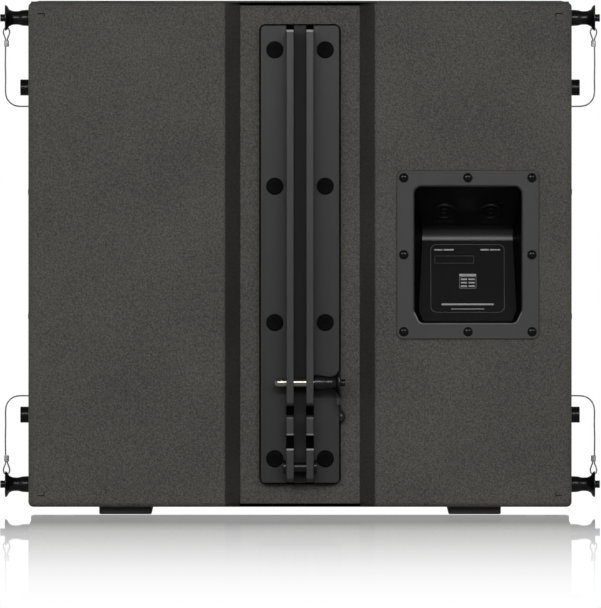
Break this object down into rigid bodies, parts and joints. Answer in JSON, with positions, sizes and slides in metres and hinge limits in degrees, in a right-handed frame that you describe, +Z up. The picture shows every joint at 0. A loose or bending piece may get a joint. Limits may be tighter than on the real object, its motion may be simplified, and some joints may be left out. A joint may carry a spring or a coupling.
{
  "type": "line array subwoofer",
  "caption": "Flown subwoofer cabinet of a line array, with a rear steel spine and fins, side rigging channels with link bars, ball lock pins on lanyards, terminal cup and grille.",
  "frame": {"origin": "on the floor, under the middle of the whole object", "axes": "+Z up, -Y out of the rear face with the terminal cup, +Y out of the grille, +X right as seen from behind"},
  "size_m": [0.625, 0.729, 0.528],
  "materials": {
    "textured_paint": "plywood with fine textured polyurea paint",
    "inside_paint": "plywood with thin matt black paint",
    "black_steel": "satin powder coat, worn bright at the fin edges",
    "grille_black": "satin powder coat",
    "black_moulding": "fine spark texture",
    "socket_plastic": "satin gloss",
    "skid_plastic": "rubbed matt",
    "pin_black": "black anodised handle, bright steel shank",
    "bright_wire": "stranded stainless wire rope",
    "cone_paper": "treated paper",
    "surround_rubber": "matt",
    "black_cloth": "woven cloth or open foam"
  },
  "bodies": {
    "root": {"bottom_panel": "textured_paint", "carry_handle_left": "black_moulding", "carry_handle_right": "black_moulding", "driver_basket_left": "black_steel", "driver_basket_right": "black_steel", "driver_motor_left": "black_steel", "driver_motor_right": "black_steel", "driver_spider_left": "black_cloth", "driver_spider_right": "black_cloth", "driver_surround_left": "surround_rubber", "driver_surround_right": "surround_rubber", "front_baffle": "inside_paint", "grille": "grille_black", "grille_foam": "black_cloth", "lanyard_left_lower": "bright_wire", "lanyard_left_upper": "bright_wire", "lanyard_rear": "bright_wire", "lanyard_right_lower": "bright_wire", "lanyard_right_upper": "bright_wire", "lanyard_screw": "black_steel", "manifold_back": "inside_paint", "manifold_baffle_left": "inside_paint", "manifold_baffle_right": "inside_paint", "port_tube_left": "black_moulding", "port_tube_right": "black_moulding", "rear_cross_pin": "black_steel", "rear_fin_left": "black_steel", "rear_fin_right": "black_steel", "rear_panel": "textured_paint", "rear_rig_plate": "black_steel", "rig_channel_left": "black_steel", "rig_channel_right": "black_steel", "rig_screw_left_lower": "black_steel", "rig_screw_left_upper": "black_steel", "rig_screw_right_lower": "black_steel", "rig_screw_right_upper": "black_steel", "side_panel_left_front": "textured_paint", "side_panel_left_rear": "textured_paint", "side_panel_right_front": "textured_paint", "side_panel_right_rear": "textured_paint", "skid_left": "skid_plastic", "skid_right": "skid_plastic", "speaker_socket_1": "socket_plastic", "speaker_socket_2": "socket_plastic", "terminal_cup": "black_moulding", "top_panel": "textured_paint"},
    "pin_rear": {"lock_pin_rear": "pin_black"},
    "button_rear": {"pin_button_rear": "pin_black"},
    "pin_left_upper": {"lock_pin_left_upper": "pin_black"},
    "button_left_upper": {"pin_button_left_upper": "pin_black"},
    "pin_left_lower": {"lock_pin_left_lower": "pin_black"},
    "button_left_lower": {"pin_button_left_lower": "pin_black"},
    "pin_right_upper": {"lock_pin_right_upper": "pin_black"},
    "button_right_upper": {"pin_button_right_upper": "pin_black"},
    "pin_right_lower": {"lock_pin_right_lower": "pin_black"},
    "button_right_lower": {"pin_button_right_lower": "pin_black"},
    "link_left": {"link_bar_left": "black_steel"},
    "cone_left": {"driver_cone_left": "cone_paper"},
    "link_right": {"link_bar_right": "black_steel"},
    "cone_right": {"driver_cone_right": "cone_paper"}
  },
  "joints": [
    {"name": "pin_rear_slide", "type": "slide", "parent": "root", "child": "pin_rear", "axis": [1, 0, 0], "range_m": [0, 0.034], "deforming": ["lanyard_rear"]},
    {"name": "button_rear_press", "type": "slide", "parent": "pin_rear", "child": "button_rear", "axis": [-1, 0, 0], "range_m": [0, 0.003], "stiffness_N_per_m": 500},
    {"name": "pin_left_upper_slide", "type": "slide", "parent": "root", "child": "pin_left_upper", "axis": [-1, 0, 0], "range_m": [0, 0.044], "deforming": ["lanyard_left_upper"]},
    {"name": "button_left_upper_press", "type": "slide", "parent": "pin_left_upper", "child": "button_left_upper", "axis": [1, 0, 0], "range_m": [0, 0.003], "stiffness_N_per_m": 500},
    {"name": "pin_left_lower_slide", "type": "slide", "parent": "root", "child": "pin_left_lower", "axis": [-1, 0, 0], "range_m": [0, 0.044], "deforming": ["lanyard_left_lower"]},
    {"name": "button_left_lower_press", "type": "slide", "parent": "pin_left_lower", "child": "button_left_lower", "axis": [1, 0, 0], "range_m": [0, 0.003], "stiffness_N_per_m": 500},
    {"name": "pin_right_upper_slide", "type": "slide", "parent": "root", "child": "pin_right_upper", "axis": [1, 0, 0], "range_m": [0, 0.044], "deforming": ["lanyard_right_upper"]},
    {"name": "button_right_upper_press", "type": "slide", "parent": "pin_right_upper", "child": "button_right_upper", "axis": [-1, 0, 0], "range_m": [0, 0.003], "stiffness_N_per_m": 500},
    {"name": "pin_right_lower_slide", "type": "slide", "parent": "root", "child": "pin_right_lower", "axis": [1, 0, 0], "range_m": [0, 0.044], "deforming": ["lanyard_right_lower"]},
    {"name": "button_right_lower_press", "type": "slide", "parent": "pin_right_lower", "child": "button_right_lower", "axis": [-1, 0, 0], "range_m": [0, 0.003], "stiffness_N_per_m": 500},
    {"name": "link_left_raise", "type": "slide", "parent": "root", "child": "link_left", "axis": [0, 0, 1], "range_m": [0, 0.034]},
    {"name": "cone_left_travel", "type": "slide", "parent": "root", "child": "cone_left", "axis": [-1, 0, 0], "range_m": [-0.008, 0.008], "stiffness_N_per_m": 5000, "deforming": ["driver_surround_left", "driver_spider_left"]},
    {"name": "link_right_raise", "type": "slide", "parent": "root", "child": "link_right", "axis": [0, 0, 1], "range_m": [0, 0.034]},
    {"name": "cone_right_travel", "type": "slide", "parent": "root", "child": "cone_right", "axis": [1, 0, 0], "range_m": [-0.008, 0.008], "stiffness_N_per_m": 5000, "deforming": ["driver_surround_right", "driver_spider_right"]}
  ]
}
